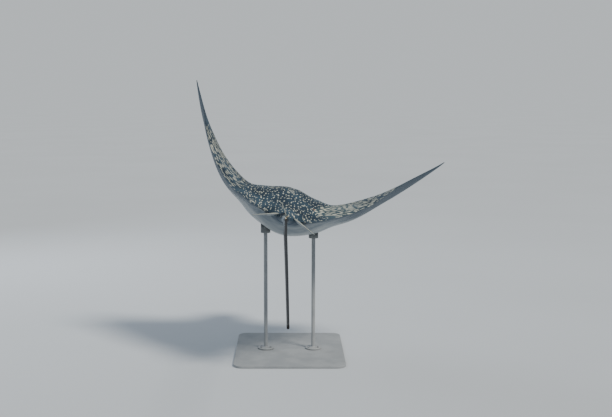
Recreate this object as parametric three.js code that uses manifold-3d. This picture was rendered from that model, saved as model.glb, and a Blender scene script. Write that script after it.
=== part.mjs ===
// Spotted eagle ray: a still, life-size model gliding in a banked turn, held by a plain stand.
// Units are millimetres. +Z is up, the ray swims along +Y, and the stand rests on z = 0.
//
// The animal is drawn flat first, in fractions of its disc width: x runs out from the midline,
// y runs forward from the rear edge of the disc, z is up. Then its wings are raised and twisted
// and its tail is trained out behind, and the whole is banked and set on the stand.

import * as THREE from 'three';
import Module from 'manifold-3d';
import { LoftGeometry } from 'three/addons/geometries/LoftGeometry.js';
import { mergeVertices } from 'three/addons/utils/BufferGeometryUtils.js';

// Driving dimensions, in millimetres.
const DISC_WIDTH = 1600;       // from wing tip to wing tip, along the curve of the wings
const GAP = 0.3;               // clearance between neighbouring solids
const PIVOT = [-12, -80, 700]; // the middle of the disc, which puts the weight over the stand
const BASE_LENGTH = 620;       // stand plate, along the ray
const BASE_WIDTH = 520;        // stand plate, across the ray
const BASE_THICKNESS = 12;
const ROD_DIAMETER = 18;
const ROD_SPACING = 230;       // between the two rods' centres

// Attitude of the animal, in degrees.
const BANK = 17.8;             // right wing down
const PITCH = -7.5;            // snout down
const HEADING = 0;             // to the right

// Outline of the right half seen from above, in fractions of the disc width: [x, y].
const HEAD_EDGE = [[.006, .5597], [.020, .5575], [.038, .548], [.051, .529], [.055, .508],
  [.060, .486], [.071, .467], [.0785, .453], [.0815, .441], [.0835, .432], [.088, .425]];
const LEADING_EDGE = [[.088, .425], [.115, .413], [.19, .385], [.28, .341], [.37, .284],
  [.44, .231], [.483, .196], [.5, .176]];
const TRAILING_EDGE = [[.5, .176], [.47, .177], [.42, .164], [.35, .141], [.27, .105],
  [.19, .052], [.135, .008], [.100, -.016], [.082, -.023]];
const INNER_EDGE = [[.082, -.023], [.066, -.022], [.053, -.0175], [.043, -.0205], [.034, -.032],
  [.0265, -.045]];
const HEAD_START = .425;       // where the wings' leading edges leave the head
const FAN_CENTRE = .235;       // the stations of both wing edges fan out from here
const REAR_CENTRE = .012;      // where the fan of the trailing edge ends on the midline
const TAIL_START = -.045;
const TAIL_END = -1.5;

// How finely the solids are faceted.
const HEAD_STATIONS = 12;
const LEADING_STATIONS = 16;
const TRAILING_STATIONS = 16;
const INNER_STATIONS = 5;
const TAIL_STATIONS = 4;       // in each length of the tail
const BODY_QUARTER = 10;       // facets in a quarter of a body section
const TAIL_QUARTER = 4;

// A smooth curve through [place, value] points that never overshoots them, held at its ends.
function curve(points) {
  const sorted = [...points].sort((a, b) => a[0] - b[0]);
  const x = sorted.map((p) => p[0]);
  const y = sorted.map((p) => p[1]);
  const last = x.length - 1;
  const step = x.slice(1).map((value, i) => value - x[i]);
  const rise = step.map((width, i) => (y[i + 1] - y[i]) / width);
  const slope = y.map((value, i) => {
    if (i === 0) return rise[0];
    if (i === last) return rise[last - 1];
    if (rise[i - 1] * rise[i] <= 0) return 0;
    const before = 2 * step[i] + step[i - 1];
    const after = step[i] + 2 * step[i - 1];
    return (before + after) / (before / rise[i - 1] + after / rise[i]);
  });
  return (place) => {
    const at = THREE.MathUtils.clamp(place, x[0], x[last]);
    let i = 0;
    while (i < last - 1 && at > x[i + 1]) i += 1;
    const t = (at - x[i]) / step[i];
    const t2 = t * t;
    const t3 = t2 * t;
    return (2 * t3 - 3 * t2 + 1) * y[i] + (t3 - 2 * t2 + t) * step[i] * slope[i]
      + (3 * t2 - 2 * t3) * y[i + 1] + (t3 - t2) * step[i] * slope[i + 1];
  };
}

// Points at even steps along a smooth line through an outline's points.
function evenly(outline, count) {
  const points = outline.map(([x, y]) => new THREE.Vector3(x, y, 0));
  return new THREE.CatmullRomCurve3(points, false, 'centripetal').getSpacedPoints(count);
}

// An outline read as y at a given x.
function edgeHeight(outline) {
  const samples = evenly(outline, 200).sort((a, b) => a.x - b.x);
  return (x) => {
    let i = 1;
    while (i < samples.length - 1 && samples[i].x < x) i += 1;
    const a = samples[i - 1];
    const b = samples[i];
    const t = THREE.MathUtils.clamp((x - a.x) / (b.x - a.x), 0, 1);
    return THREE.MathUtils.lerp(a.y, b.y, t);
  };
}

// Thickness of the trunk and head along the midline, above and below the edge of the disc.
const backHeight = curve([[.560, .0015], [.553, .0065], [.54, .0105], [.52, .015], [.505, .022],
  [.49, .037], [.47, .0565], [.445, .068], [.36, .0715], [.20, .065], [.10, .047], [.03, .030],
  [-.045, .0155]]);
const bellyDepth = curve([[.560, .0015], [.553, .006], [.52, .011], [.49, .019], [.455, .034],
  [.41, .052], [.36, .066], [.28, .0745], [.20, .071], [.10, .050], [.03, .030],
  [-.045, .0155]]);
const edgeLevel = curve([[.56, -.022], [.52, -.021], [.485, -.015], [.45, -.006], [.41, 0],
  [.40, 0]]);
// Half width of the raised trunk, and the two powers that shape its cross-section.
const trunkReach = curve([[.425, .088], [.40, .104], [.34, .141], [.26, .161], [.15, .144],
  [.06, .105], [0, .062], [-.02, .042], [-.045, .0265]]);
const shoulderPower = curve([[.56, .5], [.44, .5], [.36, 1.1], [.26, 1.45], [.08, 1.3],
  [0, .8], [-.045, .5]]);
const crownPower = curve([[.56, 2.2], [.50, 2.4], [.44, 2.8], [.36, 2.2], [.3, 2]]);
// Half thickness of the wing where it is deepest, by distance from the midline.
const wingDepth = curve([[0, .046], [.1, .0335], [.2, .0252], [.3, .0135], [.4, .006],
  [.46, .0032], [.5, .0012]]);
const RIM = .0009;             // half thickness of the very edge

const leadingY = edgeHeight([[0, .445], ...LEADING_EDGE]);
const trailingY = edgeHeight(TRAILING_EDGE);

// A rounded front and a fine rear, one unit high at its deepest, over a chord of 0 to 1.
function foil(place) {
  const f = THREE.MathUtils.clamp(place, 0, 1);
  const shape = .2969 * Math.sqrt(f) - .126 * f - .3516 * f ** 2 + .2843 * f ** 3
    - .1036 * f ** 4;
  return 10 * Math.max(0, shape);
}

// Height of the skin over the edge level at a flat place, side 1 for the back, -1 for the belly.
function skinHeight(x, y, side, reach, outward) {
  const chord = Math.max(leadingY(x) - trailingY(x), 1e-5);
  const wing = wingDepth(x) * foil((leadingY(x) - y) / chord)
    * THREE.MathUtils.smoothstep(x, .02, .11) * (1 + .06 * side);
  const across = THREE.MathUtils.clamp(x / Math.max(reach, 1e-6), 0, 1);
  const trunk = (side > 0 ? backHeight(y) : bellyDepth(y))
    * (1 - across ** crownPower(y)) ** shoulderPower(y);
  const blend = 2.2;
  const rim = RIM * Math.sqrt(1 - outward ** 6);
  return (wing ** blend + trunk ** blend) ** (1 / blend) + rim;
}

// The places round a section, from the top of the back to the left edge, the belly, the right
// edge and back: [share of the way out, right or left, back or belly or edge].
function sectionPlaces(quarter) {
  const out = [];
  for (let i = 0; i <= quarter; i += 1) {
    const t = i / quarter;
    out.push(.45 * Math.sin(t * Math.PI / 2) + .55 * t);
  }
  const inner = out.slice(0, -1);
  const middle = inner.slice(1);
  return [
    ...inner.map((r) => [r, -1, 1]),
    [1, -1, 0],
    ...[...inner].reverse().map((r) => [r, -1, -1]),
    ...middle.map((r) => [r, 1, -1]),
    [1, 1, 0],
    ...[...middle].reverse().map((r) => [r, 1, 1]),
  ];
}

// The stations of the head and disc: a centre on the midline and a point on the edge for each.
function bodyStations() {
  const list = evenly(HEAD_EDGE, HEAD_STATIONS).map((p) => ({ centre: p.y, edge: p }));
  evenly(LEADING_EDGE, LEADING_STATIONS).slice(1).forEach((edge, i) => {
    const share = (i + 1) / LEADING_STATIONS;
    list.push({ centre: THREE.MathUtils.lerp(HEAD_START, FAN_CENTRE, share), edge });
  });
  evenly(TRAILING_EDGE, TRAILING_STATIONS).slice(1).forEach((edge, i) => {
    const share = ((i + 1) / TRAILING_STATIONS) ** .95;
    list.push({ centre: THREE.MathUtils.lerp(FAN_CENTRE, REAR_CENTRE, share), edge });
  });
  evenly(INNER_EDGE, INNER_STATIONS).slice(1).forEach((edge, i) => {
    const share = (i + 1) / INNER_STATIONS;
    list.push({ centre: THREE.MathUtils.lerp(REAR_CENTRE, TAIL_START, share), edge });
  });
  return list;
}

// One section of the head or disc, as flat points.
function bodySection({ centre, edge }, quarter) {
  return sectionPlaces(quarter).map(([out, right, side]) => {
    const x = edge.x * out;
    const y = THREE.MathUtils.lerp(centre, edge.y, out);
    const reach = y > HEAD_START ? edge.x : trunkReach(y);
    const height = side === 0 ? 0 : side * skinHeight(x, y, side, reach, out);
    return new THREE.Vector3(right * x, y, edgeLevel(y) + height);
  });
}

// Half width and half height of the tail: a fast taper behind the disc, then a long whip.
function tailHalfWidth(y) {
  const behind = TAIL_START - y;
  const left = 1 - behind / (TAIL_START - TAIL_END);
  return .0018 + .0034 * left + .0213 * Math.exp(-behind / .033);
}
function tailHalfHeight(y) {
  const behind = TAIL_START - y;
  const left = 1 - behind / (TAIL_START - TAIL_END);
  return .0018 + .0032 * left + .0105 * Math.exp(-behind / .05);
}

// One section of the tail, an ellipse.
function tailSection(y, quarter) {
  const points = [];
  for (let i = 0; i < 4 * quarter; i += 1) {
    const angle = i / (4 * quarter) * 2 * Math.PI;
    points.push(new THREE.Vector3(-tailHalfWidth(y) * Math.sin(angle), y,
      tailHalfHeight(y) * Math.cos(angle)));
  }
  return points;
}

// Slope of each wing, in degrees of rise, by distance from the midline, and its twist, rear up.
const leftRise = curve([[0, 0], [.05, 0], [.10, 9], [.16, 25], [.22, 39.5], [.28, 49],
  [.35, 56], [.42, 60], [.5, 61]]);
const rightRise = curve([[0, 0], [.05, 5.5], [.10, 16], [.16, 29], [.22, 40], [.28, 44.5],
  [.35, 47.5], [.42, 48], [.5, 48.5]]);
const leftTwist = curve([[0, 0], [.05, 0], [.10, .9], [.13, 1.4], [.16, -.3], [.20, -1.6],
  [.28, -1.5], [.34, -1], [.38, 2], [.42, 6], [.5, 8]]);
const rightTwist = curve([[0, 0], [.05, 0], [.10, 1.2], [.13, 1.5], [.16, .6], [.20, -.1],
  [.25, .1], [.28, 1.5], [.34, 5.5], [.42, 9], [.5, 10]]);
const twistAxis = curve([[0, .285], [.1, .285], [.2, .26], [.5, .19]]);
// How far the rear of the trunk sinks and leans to the right, by y.
const rearSink = curve([[.22, 0], [.16, .0035], [.10, .011], [.04, .0185], [-.02, .0215],
  [-.045, .022]]);
const rearShift = curve([[.22, 0], [.10, .0018], [-.02, .0035], [-.045, .0035]]);
// Slope of the tail, in degrees below the trunk and to the right, by y.
const tailDrop = curve([[-1.5, 4.9], [-.6, 4.9], [-.25, 5.3], [-.10, 5], [-.04, 3], [0, 0]]);
const tailSwing = curve([[-1.5, 1.8], [-.3, 1.9], [-.08, 1], [0, 0]]);

// Running totals of a slope: how far a line along it gets across and up by each distance.
function alongSlope(slope, length) {
  const steps = 500;
  const across = [0];
  const up = [0];
  for (let i = 1; i <= steps; i += 1) {
    const angle = THREE.MathUtils.degToRad(slope((i - .5) / steps * length));
    across.push(across[i - 1] + Math.cos(angle) * length / steps);
    up.push(up[i - 1] + Math.sin(angle) * length / steps);
  }
  const read = (table, distance) => {
    const at = THREE.MathUtils.clamp(distance / length, 0, 1) * steps;
    const i = Math.min(Math.floor(at), steps - 1);
    return THREE.MathUtils.lerp(table[i], table[i + 1], at - i);
  };
  return (distance) => [read(across, distance), read(up, distance)];
}
const leftWing = alongSlope(leftRise, .5);
const rightWing = alongSlope(rightRise, .5);
const tailDown = alongSlope((behind) => tailDrop(-behind), -TAIL_END);
const tailAside = alongSlope((behind) => tailSwing(-behind), -TAIL_END);

// Raises the wings and trains the tail: a flat point in fractions becomes millimetres. The
// head stays as it is drawn.
function pose(flat) {
  const out = Math.abs(flat.x);
  const twist = THREE.MathUtils.degToRad((flat.x < 0 ? leftTwist : rightTwist)(out));
  const fore = flat.y - twistAxis(out);
  const y = twistAxis(out) + fore * Math.cos(twist) + flat.z * Math.sin(twist);
  const height = flat.z * Math.cos(twist) - fore * Math.sin(twist);
  const rise = THREE.MathUtils.degToRad((flat.x < 0 ? leftRise : rightRise)(out));
  const [across, up] = (flat.x < 0 ? leftWing : rightWing)(out);
  const side = Math.sign(flat.x);
  const posed = new THREE.Vector3(side * (across - height * Math.sin(rise)), y,
    up + height * Math.cos(rise));
  posed.lerp(flat, THREE.MathUtils.smoothstep(flat.y, .40, .46));
  const [from, to] = flat.x < 0 ? [.10, .23] : [.06, .22];
  const bend = 1 - THREE.MathUtils.smoothstep(out, from, to);
  posed.x += rearShift(flat.y) * bend;
  posed.z -= rearSink(flat.y) * bend;
  if (flat.y < 0) {
    const drop = THREE.MathUtils.degToRad(tailDrop(flat.y));
    const [back, down] = tailDown(-flat.y);
    const aside = tailAside(-flat.y)[1];
    const trained = new THREE.Vector3(posed.x + aside, -back + posed.z * -Math.sin(drop),
      posed.z * Math.cos(drop) - down);
    posed.lerp(trained, 1 - THREE.MathUtils.smoothstep(out, .05, .12));
  }
  return posed.multiplyScalar(DISC_WIDTH);
}

// A closed surface through sections of flat points, posed.
function loft(sections) {
  const posed = sections.map((points) => points.map(pose));
  return new LoftGeometry(posed, { closed: true, capStart: true, capEnd: true });
}

// Solids are cut and joined as manifolds.
const wasm = await Module();
wasm.setup();

function merged(geometry) {
  const bare = new THREE.BufferGeometry().copy(geometry);
  bare.deleteAttribute('normal');
  bare.deleteAttribute('uv');
  return mergeVertices(bare, 1e-4);
}

function solidOf(geometry) {
  const bare = merged(geometry);
  return new wasm.Manifold(new wasm.Mesh({
    numProp: 3,
    vertProperties: new Float32Array(bare.attributes.position.array),
    triVerts: new Uint32Array(bare.index.array),
  }));
}

function geometryOf(solid) {
  const { vertProperties, triVerts } = solid.getMesh();
  const geometry = new THREE.BufferGeometry();
  geometry.setAttribute('position', new THREE.BufferAttribute(vertProperties, 3));
  geometry.setIndex(new THREE.BufferAttribute(triVerts, 1));
  geometry.computeVertexNormals();
  return geometry;
}

// The biggest piece of a solid that a cut has left in several.
function largest(solid) {
  return solid.decompose().sort((a, b) => b.volume() - a.volume())[0];
}

// The same surface moved out by a small distance.
function grown(geometry, distance) {
  const bare = merged(geometry);
  bare.computeVertexNormals();
  const { position, normal } = bare.attributes;
  for (let i = 0; i < position.count; i += 1) {
    position.setXYZ(i, position.getX(i) + distance * normal.getX(i),
      position.getY(i) + distance * normal.getY(i),
      position.getZ(i) + distance * normal.getZ(i));
  }
  return bare;
}

// A block of space between two corners, to keep one length or side of the body.
function block(from, to) {
  const size = new THREE.Vector3().subVectors(to, from);
  const box = new THREE.BoxGeometry(size.x, size.y, size.z);
  box.translate((from.x + to.x) / 2, (from.y + to.y) / 2, (from.z + to.z) / 2);
  return solidOf(box);
}

// Materials.
function finish(color, roughness, metalness = 0) {
  return new THREE.MeshStandardMaterial({ color, roughness, metalness });
}

function add(group, name, solid, material) {
  const mesh = new THREE.Mesh(geometryOf(solid), material);
  mesh.name = name;
  group.add(mesh);
  return mesh;
}

// Head, snout, trunk and wings: one body, parted by thin planes.
const FAR = 3000;
const SNOUT_CUT = .498 * DISC_WIDTH;
const NECK_CUT = .400 * DISC_WIDTH;
const WING_CUT = .105 * DISC_WIDTH;
const bodySections = bodyStations().map((station) => bodySection(station, BODY_QUARTER));
const bodyShape = loft(bodySections);
const body = solidOf(bodyShape);

function lengthOfBody(rear, front) {
  const half = GAP / 2;
  const from = new THREE.Vector3(-WING_CUT + half, rear + half, -FAR);
  const to = new THREE.Vector3(WING_CUT - half, front - half, FAR);
  return body.intersect(block(from, to));
}

function wing(side) {
  const inner = WING_CUT + GAP / 2;
  const from = new THREE.Vector3(side > 0 ? inner : -FAR, -FAR, -FAR);
  const to = new THREE.Vector3(side > 0 ? FAR : -inner, FAR, FAR);
  return body.intersect(block(from, to));
}

// Eyes, on the sides of the head just ahead of where the wings begin.
const EYE_RADIUS = 17.5;
const EYE_PLACE = { x: .0705, y: .4535, z: .019 };
// Spiracles, the wide breathing holes just behind the eyes.
const SPIRACLE_PLACE = { x: .0840, y: .4240, z: .0265 };
const SPIRACLE_RADII = [11, 25, 13];

function eye(side, extra = 0) {
  const ball = new THREE.SphereGeometry(1, 12, 8);
  const centre = pose(new THREE.Vector3(side * EYE_PLACE.x, EYE_PLACE.y, EYE_PLACE.z));
  ball.scale(.75 * EYE_RADIUS + extra, EYE_RADIUS + extra, .9 * EYE_RADIUS + extra);
  ball.translate(centre.x, centre.y, centre.z);
  return solidOf(ball);
}

function spiracle(side) {
  const hole = new THREE.SphereGeometry(1, 12, 8);
  const { x, y, z } = SPIRACLE_PLACE;
  const centre = pose(new THREE.Vector3(side * x, y, z));
  hole.scale(...SPIRACLE_RADII);
  hole.rotateX(-.35);
  hole.translate(centre.x, centre.y, centre.z);
  return solidOf(hole);
}

const sockets = eye(1, GAP).add(eye(-1, GAP)).add(spiracle(1)).add(spiracle(-1));

// A blade: closed sections of a thin fin, each with its front and rear edge and half thickness.
// place(along, through) turns a distance along the chord and one through it into a point.
function bladeSection(front, rear, halfThickness, place) {
  const steps = 6;
  const points = [];
  for (let i = 0; i < 2 * steps; i += 1) {
    const side = i < steps ? 1 : -1;
    const t = i < steps ? i / steps : 2 - i / steps;
    const f = (1 - Math.cos(Math.PI * t)) / 2;
    const y = THREE.MathUtils.lerp(front, rear, f);
    points.push(place(y, side * (halfThickness * foil(f) + .15 * RIM)));
  }
  return points;
}

// Tail: one long whip, in four lengths.
const TAIL_CUTS = [TAIL_START, -.26, -.62, -1.05, TAIL_END];
const TAIL_NAMES = ['tail_base', 'tail_mid', 'tail_rear', 'tail_tip'];

function tailSections(index) {
  const start = TAIL_CUTS[index] - GAP / DISC_WIDTH;
  const end = TAIL_CUTS[index + 1];
  const sections = [];
  for (let i = 0; i <= TAIL_STATIONS; i += 1) {
    const share = (i / TAIL_STATIONS) ** (index === 0 ? 1.8 : 1);
    sections.push(tailSection(THREE.MathUtils.lerp(start, end, share), TAIL_QUARTER));
  }
  return sections;
}

// The room taken by the body and the tail's root, for what grows from them to be cut by. Each
// runs on a little way into the other, so that no rim shows between them.
const OVERRUN = 12 / DISC_WIDTH;
const bodyEnd = tailSection(TAIL_START - OVERRUN, BODY_QUARTER);
const tailFront = tailSection(TAIL_START + OVERRUN, TAIL_QUARTER);
const rootRoom = solidOf(grown(loft([...bodySections, bodyEnd]), GAP))
  .add(solidOf(grown(loft([tailFront, ...tailSections(0)]), GAP)));

// Pelvic fins: rounded lobes that hang from the rear of the trunk on each side of the tail.
const PELVIC_ROOT = { x: .020, z: .0045 };
const PELVIC_SPAN = .071;
const PELVIC_DROOP = THREE.MathUtils.degToRad(20);
const pelvicFront = curve([[0, .045], [.030, .020], [.054, -.020], [.067, -.052], [.071, -.066]]);
const pelvicRear = curve([[0, -.050], [.013, -.078], [.033, -.098], [.054, -.097],
  [.067, -.082], [.071, -.072]]);
const pelvicDepth = curve([[0, .0060], [.033, .0034], [.058, .0018], [.071, .0008]]);
const PELVIC_SECTIONS = 9;

function pelvicFin(side) {
  const sections = [];
  const aside = rearShift(TAIL_START);
  const sunk = rearSink(TAIL_START);
  for (let i = 0; i <= PELVIC_SECTIONS; i += 1) {
    const span = PELVIC_SPAN * Math.sin(i / PELVIC_SECTIONS * Math.PI / 2);
    const place = (y, through) => new THREE.Vector3(
      side * (PELVIC_ROOT.x + span * Math.cos(PELVIC_DROOP)) + aside, y,
      PELVIC_ROOT.z - span * Math.sin(PELVIC_DROOP) + through - sunk,
    ).multiplyScalar(DISC_WIDTH);
    sections.push(bladeSection(pelvicFront(span), pelvicRear(span), pelvicDepth(span), place));
  }
  if (side < 0) sections.forEach((points) => points.reverse());
  const geometry = new LoftGeometry(sections, { closed: true, capStart: true, capEnd: true });
  return largest(solidOf(geometry).subtract(rootRoom));
}

// Dorsal fin: one small swept fin on the root of the tail.
const DORSAL_FRONT = -.047;
const DORSAL_LENGTH = .042;
const DORSAL_HEIGHT = .037;    // above the middle of the tail
const DORSAL_LEAN = .022;      // to the left at the tip, where the water bends the soft fin
const DORSAL_SECTIONS = 6;

function dorsalFin() {
  const sections = [];
  for (let i = 0; i <= DORSAL_SECTIONS; i += 1) {
    const up = Math.sin(i / DORSAL_SECTIONS * Math.PI / 2);
    const front = DORSAL_FRONT - .8 * DORSAL_LENGTH * up ** 2;
    const rear = DORSAL_FRONT - DORSAL_LENGTH * (1 + .12 * Math.sin(up * Math.PI));
    const lean = DORSAL_LEAN * up ** 1.6;
    const place = (y, through) => new THREE.Vector3(-through - lean, y, DORSAL_HEIGHT * up);
    sections.push(bladeSection(front, rear, .0030 - .0022 * up, place).map(pose));
  }
  const geometry = new LoftGeometry(sections, { closed: true, capStart: true, capEnd: true });
  return largest(solidOf(geometry).subtract(rootRoom));
}

// Stinging spines: two flat daggers that lie back over the tail behind the dorsal fin.
const SPINES = [
  { name: 'tail_spine_lower', root: -.100, length: .092, lift: 2.5, aside: -1.5 },
  { name: 'tail_spine_upper', root: -.092, length: .070, lift: 9, aside: 3 },
];
const SPINE_HALF_WIDTH = 4.2;
const SPINE_HALF_DEPTH = 2;
const SPINE_SECTIONS = 5;

function spine({ root, length, lift, aside }) {
  const start = pose(new THREE.Vector3(0, root, .7 * tailHalfHeight(root)));
  const slope = THREE.MathUtils.degToRad(lift - tailDrop(root));
  const turn = THREE.MathUtils.degToRad(aside + tailSwing(root));
  const sections = [];
  for (let i = 0; i <= SPINE_SECTIONS; i += 1) {
    const share = i / SPINE_SECTIONS;
    const taper = .12 + .88 * (1 - share ** 2.2);
    const run = share * length * DISC_WIDTH;
    const centre = new THREE.Vector3(Math.sin(turn), -1, Math.sin(slope));
    centre.multiplyScalar(run).add(start);
    const w = SPINE_HALF_WIDTH * taper;
    const d = SPINE_HALF_DEPTH * taper;
    const ring = [[0, d], [-w, 0], [0, -d], [w, 0]];
    sections.push(ring.map(([x, z]) => new THREE.Vector3(x, 0, z).add(centre)));
  }
  const geometry = new LoftGeometry(sections, { closed: true, capStart: true, capEnd: true });
  return geometry;
}

// The animal, in its own level frame, then banked about the middle of its disc.
const skin = finish(0x33495c, .45);
const pale = finish(0xd9d6c8, .4);
const dark = finish(0x101418, .1);

const ray = new THREE.Group();
add(ray, 'snout', lengthOfBody(SNOUT_CUT, FAR), skin);
add(ray, 'head', lengthOfBody(NECK_CUT, SNOUT_CUT).subtract(sockets), skin);
add(ray, 'trunk', lengthOfBody(-FAR, NECK_CUT), skin);
add(ray, 'pectoral_fin_left', wing(-1), skin);
add(ray, 'pectoral_fin_right', wing(1), skin);
add(ray, 'pelvic_fin_left', pelvicFin(-1), skin);
add(ray, 'pelvic_fin_right', pelvicFin(1), skin);
add(ray, 'eye_left', eye(-1), dark);
add(ray, 'eye_right', eye(1), dark);
TAIL_NAMES.forEach((name, index) => {
  add(ray, name, solidOf(loft(tailSections(index))), skin);
});
add(ray, 'dorsal_fin', dorsalFin(), skin);
let spineRoom = rootRoom;
SPINES.forEach((shape) => {
  const geometry = spine(shape);
  add(ray, shape.name, largest(solidOf(geometry).subtract(spineRoom)), pale);
  spineRoom = spineRoom.add(solidOf(grown(geometry, GAP)));
});
ray.position.set(0, -.2 * DISC_WIDTH, 0);

const banked = new THREE.Group();
banked.add(ray);
banked.rotation.set(THREE.MathUtils.degToRad(PITCH), THREE.MathUtils.degToRad(BANK),
  THREE.MathUtils.degToRad(-HEADING), 'ZXY');
banked.position.set(...PIVOT);
banked.updateMatrixWorld(true);

// Stand: a flat plate with rounded corners, and two rods up to pads that fit the belly.
const steel = finish(0x9fa3a5, .55, .1);
const rubber = finish(0x6a6d6f, .8);
const CORNER = 45;
const BEVEL = 2;
const FLANGE_DIAMETER = 76;
const FLANGE_THICKNESS = 8;
const PAD_DIAMETER = 46;
const PAD_DEPTH = 16;

const stand = new THREE.Group();
const plate = new THREE.Shape();
const halfX = BASE_WIDTH / 2 - BEVEL;
const halfY = BASE_LENGTH / 2 - BEVEL;
plate.absarc(halfX - CORNER, halfY - CORNER, CORNER, 0, Math.PI / 2);
plate.absarc(-halfX + CORNER, halfY - CORNER, CORNER, Math.PI / 2, Math.PI);
plate.absarc(-halfX + CORNER, -halfY + CORNER, CORNER, Math.PI, 1.5 * Math.PI);
plate.absarc(halfX - CORNER, -halfY + CORNER, CORNER, 1.5 * Math.PI, 2 * Math.PI);
const plateGeometry = new THREE.ExtrudeGeometry(plate, {
  depth: BASE_THICKNESS - 2 * BEVEL,
  bevelThickness: BEVEL,
  bevelSize: BEVEL,
  bevelSegments: 1,
  curveSegments: 6,
});
plateGeometry.translate(0, 0, BEVEL);
add(stand, 'stand_base', solidOf(plateGeometry), steel);

const bellyRoom = solidOf(grown(merged(bodyShape).applyMatrix4(ray.matrixWorld), GAP));

function upright(x, diameter, bottom, top) {
  const cylinder = new THREE.CylinderGeometry(diameter / 2, diameter / 2, top - bottom, 24);
  cylinder.rotateX(Math.PI / 2);
  cylinder.translate(x, 0, (top + bottom) / 2);
  return solidOf(cylinder);
}

// One rod with its foot, turned as one piece, and the pad on top of it.
function addRod(side, name) {
  const x = side * ROD_SPACING / 2;
  const column = upright(x, PAD_DIAMETER, BASE_THICKNESS, PIVOT[2]);
  const belly = column.intersect(bellyRoom).boundingBox().min[2];
  const padBottom = belly - PAD_DEPTH;
  const padBlank = upright(x, PAD_DIAMETER, padBottom, PIVOT[2]);
  const pad = padBlank.subtract(bellyRoom).decompose()
    .sort((a, b) => a.boundingBox().min[2] - b.boundingBox().min[2])[0];
  add(stand, `stand_pad_${name}`, pad, rubber);

  const rod = ROD_DIAMETER / 2;
  const foot = FLANGE_DIAMETER / 2;
  const profile = [[0, 0], [foot, 0], [foot, FLANGE_THICKNESS - 2], [foot - 2, FLANGE_THICKNESS],
    [rod + 5, FLANGE_THICKNESS], [rod, FLANGE_THICKNESS + 5]];
  const length = padBottom - BASE_THICKNESS - 2 * GAP;
  profile.push([rod, length], [0, length]);
  const lathe = new THREE.LatheGeometry(profile.map(([r, z]) => new THREE.Vector2(r, z)), 24);
  lathe.rotateX(Math.PI / 2);
  lathe.translate(x, 0, BASE_THICKNESS + GAP);
  add(stand, `stand_rod_${name}`, solidOf(lathe), steel);
}

addRod(-1, 'left');
addRod(1, 'right');

const model = new THREE.Group();
model.add(banked, stand);

export default model;
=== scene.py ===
import math

import bmesh
import bpy
import numpy as np
from mathutils import Matrix, Vector
from mathutils.bvhtree import BVHTree


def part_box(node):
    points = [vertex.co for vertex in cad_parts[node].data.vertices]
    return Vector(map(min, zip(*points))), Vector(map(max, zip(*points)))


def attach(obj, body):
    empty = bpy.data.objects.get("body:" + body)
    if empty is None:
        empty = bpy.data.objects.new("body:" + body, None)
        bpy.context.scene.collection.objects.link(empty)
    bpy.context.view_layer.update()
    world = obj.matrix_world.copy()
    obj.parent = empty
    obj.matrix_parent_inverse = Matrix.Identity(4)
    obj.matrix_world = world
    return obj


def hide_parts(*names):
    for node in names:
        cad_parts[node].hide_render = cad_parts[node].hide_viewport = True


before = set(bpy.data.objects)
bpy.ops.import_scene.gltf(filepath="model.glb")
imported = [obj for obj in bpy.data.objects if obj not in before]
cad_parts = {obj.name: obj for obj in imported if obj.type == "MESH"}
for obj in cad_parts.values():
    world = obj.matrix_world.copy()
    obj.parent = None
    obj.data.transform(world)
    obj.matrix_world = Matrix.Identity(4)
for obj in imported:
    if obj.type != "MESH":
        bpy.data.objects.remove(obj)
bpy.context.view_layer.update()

# ---------------------------------------------------------------------------------------
# Skin of the head, disc and tail.
# In life this is tough, scaleless hide over cartilage and muscle. On the model it is one
# cast shell, fins and tail included, sanded and painted, that rests on the stand's pads.
# ---------------------------------------------------------------------------------------
# The shell is drawn flat, with x out from the midline, y forward from the rear edge of the
# disc and z up. Then its wings are raised, its tail is trained, and the whole is banked.
DISC_WIDTH = 1.6               # metres, along the curve of the wings
PIVOT = Vector((-.012, -.080, .700))
PIVOT_Y = .2                   # the place on the flat shell that is set on the pivot
BANK, PITCH, HEADING = 17.8, -7.5, 0           # degrees
LEVEL = Matrix.Translation((0, -PIVOT_Y * DISC_WIDTH, 0))
TURN = (Matrix.Rotation(math.radians(-HEADING), 4, 'Z')
        @ Matrix.Rotation(math.radians(PITCH), 4, 'X')
        @ Matrix.Rotation(math.radians(BANK), 4, 'Y'))
STAND_ON = Matrix.Translation(PIVOT) @ TURN @ LEVEL

# Outline of the right half seen from above, in fractions of the disc width: [x, y].
HEAD_EDGE = [[.0010, .5601], [.006, .5597], [.020, .5575], [.038, .548], [.051, .529],
             [.055, .508], [.060, .486], [.071, .467], [.0785, .453], [.0815, .441],
             [.0835, .432], [.088, .425]]
LEADING_EDGE = [[.088, .425], [.115, .413], [.19, .385], [.28, .341], [.37, .284],
                [.44, .231], [.483, .196], [.5, .176]]
TRAILING_EDGE = [[.5, .176], [.47, .177], [.42, .164], [.35, .141], [.27, .105], [.19, .052],
                 [.135, .008], [.100, -.016], [.082, -.023]]
INNER_EDGE = [[.082, -.023], [.066, -.022], [.053, -.0175], [.043, -.0205], [.034, -.032],
              [.0265, -.045]]
HEAD_START = .425              # where the wings' leading edges leave the head
FAN_CENTRE = .235              # the stations of both wing edges fan out from here
REAR_CENTRE = .012             # where the fan of the trailing edge ends on the midline
TAIL_START, TAIL_END = -.045, -1.5


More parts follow.
